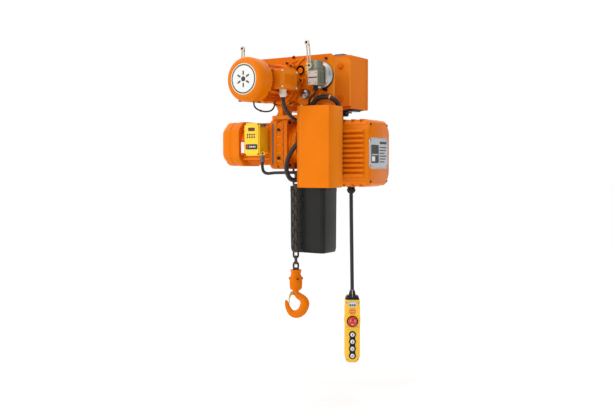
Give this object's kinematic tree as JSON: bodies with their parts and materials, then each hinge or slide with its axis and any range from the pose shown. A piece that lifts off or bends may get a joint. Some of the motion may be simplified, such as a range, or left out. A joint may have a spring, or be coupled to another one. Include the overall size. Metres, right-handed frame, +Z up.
{
  "type": "chain hoist",
  "caption": "Electric chain hoist hung in a motor-driven beam trolley, with a chain bucket, a swivelling hook, limit switches and a pendant control.",
  "frame": {"origin": "middle of the beam track: between the side plates, at the height of the wheel treads, straight above the load chain", "axes": "+X along the beam towards the ribbed control cover, -Y towards the trolley motor, +Z up"},
  "size_m": [0.6091, 0.49, 1.079],
  "materials": {
    "orange_paint": "semi-gloss enamel, darker on castings",
    "bright_steel": "turned",
    "machined_steel": "machined",
    "cast_iron": "machined tread",
    "gland_plastic": "white, grey and black nylon",
    "black_rubber": "satin",
    "yellow_zinc": "yellow passivated",
    "switch_alloy": "die cast",
    "black_plastic": "semi-gloss",
    "chrome": "polished",
    "black_bolts": "black oxide",
    "plate_alloy": "satin",
    "yellow_plastic": "moulded",
    "chain_steel": "oiled and blackened",
    "red_plastic": "moulded",
    "white_plastic": "moulded"
  },
  "bodies": {
    "frame": {"trolley_front_plate": "orange_paint", "trolley_rear_plate": "orange_paint", "suspension_shafts": "bright_steel", "wheel_axles": "machined_steel", "trolley_gearbox": "orange_paint", "trolley_stator": "orange_paint", "trolley_motor_cowl": "orange_paint", "terminal_box": "orange_paint", "terminal_cover": "orange_paint", "cable_glands": "gland_plastic", "trolley_leads": "black_rubber", "switch_brackets": "yellow_zinc", "limit_switches": "switch_alloy", "bell_base": "black_plastic", "bell_gong": "chrome", "rear_box": "orange_paint", "rear_box_lid": "orange_paint", "socket_bolts": "black_bolts", "suspension_yoke": "orange_paint", "gear_housing": "orange_paint", "gear_cover": "orange_paint", "hoist_stator": "orange_paint", "hoist_fan_cover": "orange_paint", "control_cover": "orange_paint", "nameplate": "plate_alloy", "control_gear": "black_plastic", "inverter_base": "yellow_plastic", "inverter_lid": "yellow_plastic", "hoist_leads": "black_rubber", "front_box": "orange_paint", "front_box_cover": "orange_paint", "chain_bucket": "black_plastic"},
    "trolley_rotor": {"trolley_rotor": "machined_steel"},
    "trolley_countershaft": {"trolley_countershaft": "machined_steel"},
    "trolley_pinion": {"trolley_pinion": "machined_steel"},
    "front_left_wheel": {"front_left_wheel": "cast_iron"},
    "front_right_wheel": {"front_right_wheel": "cast_iron"},
    "rear_left_wheel": {"rear_left_wheel": "cast_iron"},
    "rear_right_wheel": {"rear_right_wheel": "cast_iron"},
    "left_lever": {"left_lever": "bright_steel"},
    "right_lever": {"right_lever": "bright_steel"},
    "left_roller": {"left_roller": "bright_steel"},
    "right_roller": {"right_roller": "bright_steel"},
    "hoist_rotor": {"hoist_rotor": "machined_steel"},
    "hoist_countershaft": {"hoist_countershaft": "machined_steel"},
    "lift_wheel": {"lift_wheel": "machined_steel"},
    "slack_chain": {"slack_chain": "chain_steel"},
    "hook": {"hook": "orange_paint"},
    "latch": {"latch": "yellow_zinc"},
    "estop_button": {"estop_button": "red_plastic"},
    "up_button": {"up_button": "white_plastic"},
    "down_button": {"down_button": "white_plastic"},
    "left_button": {"left_button": "white_plastic"},
    "right_button": {"right_button": "white_plastic"},
    "hook_block": {"hook_block": "orange_paint", "block_bolts": "black_bolts", "load_chain": "chain_steel"},
    "pendant": {"pendant_cable": "black_rubber", "pendant_shell": "yellow_plastic", "pendant_cap": "black_rubber"}
  },
  "joints": [
    {"name": "trolley_rotor_spin", "type": "hinge", "parent": "frame", "child": "trolley_rotor", "pos_m": [0, -0.17, -0.00665], "axis": [0, 1, 0], "continuous": true},
    {"name": "trolley_countershaft_spin", "type": "hinge", "parent": "frame", "child": "trolley_countershaft", "pos_m": [0, -0.08, 0.02485], "axis": [0, 1, 0], "continuous": true},
    {"name": "trolley_pinion_spin", "type": "hinge", "parent": "frame", "child": "trolley_pinion", "pos_m": [0, -0.06, -0.00665], "axis": [0, 1, 0], "continuous": true},
    {"name": "front_left_wheel_spin", "type": "hinge", "parent": "frame", "child": "front_left_wheel", "pos_m": [-0.06, -0.03, 0.04], "axis": [0, 1, 0], "continuous": true},
    {"name": "front_right_wheel_spin", "type": "hinge", "parent": "frame", "child": "front_right_wheel", "pos_m": [0.06, -0.03, 0.04], "axis": [0, 1, 0], "continuous": true},
    {"name": "rear_left_wheel_spin", "type": "hinge", "parent": "frame", "child": "rear_left_wheel", "pos_m": [-0.06, 0.03, 0.04], "axis": [0, 1, 0], "continuous": true},
    {"name": "rear_right_wheel_spin", "type": "hinge", "parent": "frame", "child": "rear_right_wheel", "pos_m": [0.06, 0.03, 0.04], "axis": [0, 1, 0], "continuous": true},
    {"name": "left_lever_swing", "type": "hinge", "parent": "frame", "child": "left_lever", "pos_m": [-0.137, -0.126, 0.045], "axis": [0, 1, 0], "range_deg": [-40, 40], "stiffness_Nm_per_rad": 0.5},
    {"name": "right_lever_swing", "type": "hinge", "parent": "frame", "child": "right_lever", "pos_m": [0.137, -0.126, 0.045], "axis": [0, 1, 0], "range_deg": [-40, 40], "stiffness_Nm_per_rad": 0.5},
    {"name": "left_roller_spin", "type": "hinge", "parent": "left_lever", "child": "left_roller", "pos_m": [-0.13, -0.134, 0.119], "axis": [0, 1, 0], "continuous": true},
    {"name": "right_roller_spin", "type": "hinge", "parent": "right_lever", "child": "right_roller", "pos_m": [0.13, -0.134, 0.119], "axis": [0, 1, 0], "continuous": true},
    {"name": "hoist_rotor_spin", "type": "hinge", "parent": "frame", "child": "hoist_rotor", "pos_m": [-0.15, 0.033, -0.202], "axis": [1, 0, 0], "range_deg": [-540, 540]},
    {"name": "hoist_countershaft_spin", "type": "hinge", "parent": "frame", "child": "hoist_countershaft", "pos_m": [0.03, 0.033, -0.1705], "axis": [1, 0, 0], "range_deg": [-220, 220]},
    {"name": "lift_wheel_spin", "type": "hinge", "parent": "frame", "child": "lift_wheel", "pos_m": [0, 0.033, -0.202], "axis": [1, 0, 0], "range_deg": [-88, 88]},
    {"name": "hook_lift", "type": "slide", "parent": "frame", "child": "hook_block", "axis": [0, 0, 1], "range_m": [-0.0505, 0.0505]},
    {"name": "slack_chain_travel", "type": "slide", "parent": "frame", "child": "slack_chain", "axis": [0, 0, 1], "range_m": [-0.0505, 0.0505]},
    {"name": "hook_swivel", "type": "hinge", "parent": "hook_block", "child": "hook", "pos_m": [0, 0, -0.7], "axis": [0, 0, 1], "continuous": true},
    {"name": "latch_pivot", "type": "hinge", "parent": "hook", "child": "latch", "pos_m": [-0.01266, -0.00804, -0.728], "axis": [0.5358, -0.8443, 0], "range_deg": [0, 35], "stiffness_Nm_per_rad": 0.05, "springref_deg": -17.19},
    {"name": "pendant_swing", "type": "hinge", "parent": "frame", "child": "pendant", "pos_m": [0.203, 0.033, -0.352], "axis": [0, 1, 0], "range_deg": [-8, 8]},
    {"name": "estop_press", "type": "slide", "parent": "pendant", "child": "estop_button", "axis": [-0.5358, 0.8443, 0], "range_m": [0, 0.004]},
    {"name": "up_button_press", "type": "slide", "parent": "pendant", "child": "up_button", "axis": [-0.5358, 0.8443, 0], "range_m": [0, 0.003], "stiffness_N_per_m": 500},
    {"name": "down_button_press", "type": "slide", "parent": "pendant", "child": "down_button", "axis": [-0.5358, 0.8443, 0], "range_m": [0, 0.003], "stiffness_N_per_m": 500},
    {"name": "left_button_press", "type": "slide", "parent": "pendant", "child": "left_button", "axis": [-0.5358, 0.8443, 0], "range_m": [0, 0.003], "stiffness_N_per_m": 500},
    {"name": "right_button_press", "type": "slide", "parent": "pendant", "child": "right_button", "axis": [-0.5358, 0.8443, 0], "range_m": [0, 0.003], "stiffness_N_per_m": 500}
  ],
  "couplings": [
    {"joint": "trolley_countershaft_spin", "follows": "trolley_rotor_spin", "ratio": -0.4},
    {"joint": "trolley_pinion_spin", "follows": "trolley_rotor_spin", "ratio": 0.16},
    {"joint": "front_left_wheel_spin", "follows": "trolley_rotor_spin", "ratio": -0.093333},
    {"joint": "front_right_wheel_spin", "follows": "trolley_rotor_spin", "ratio": -0.093333},
    {"joint": "hoist_countershaft_spin", "follows": "hoist_rotor_spin", "ratio": -0.4},
    {"joint": "lift_wheel_spin", "follows": "hoist_rotor_spin", "ratio": 0.16},
    {"joint": "hook_lift", "follows": "hoist_rotor_spin", "m_per_rad": -0.00528},
    {"joint": "slack_chain_travel", "follows": "hoist_rotor_spin", "m_per_rad": 0.00528}
  ]
}
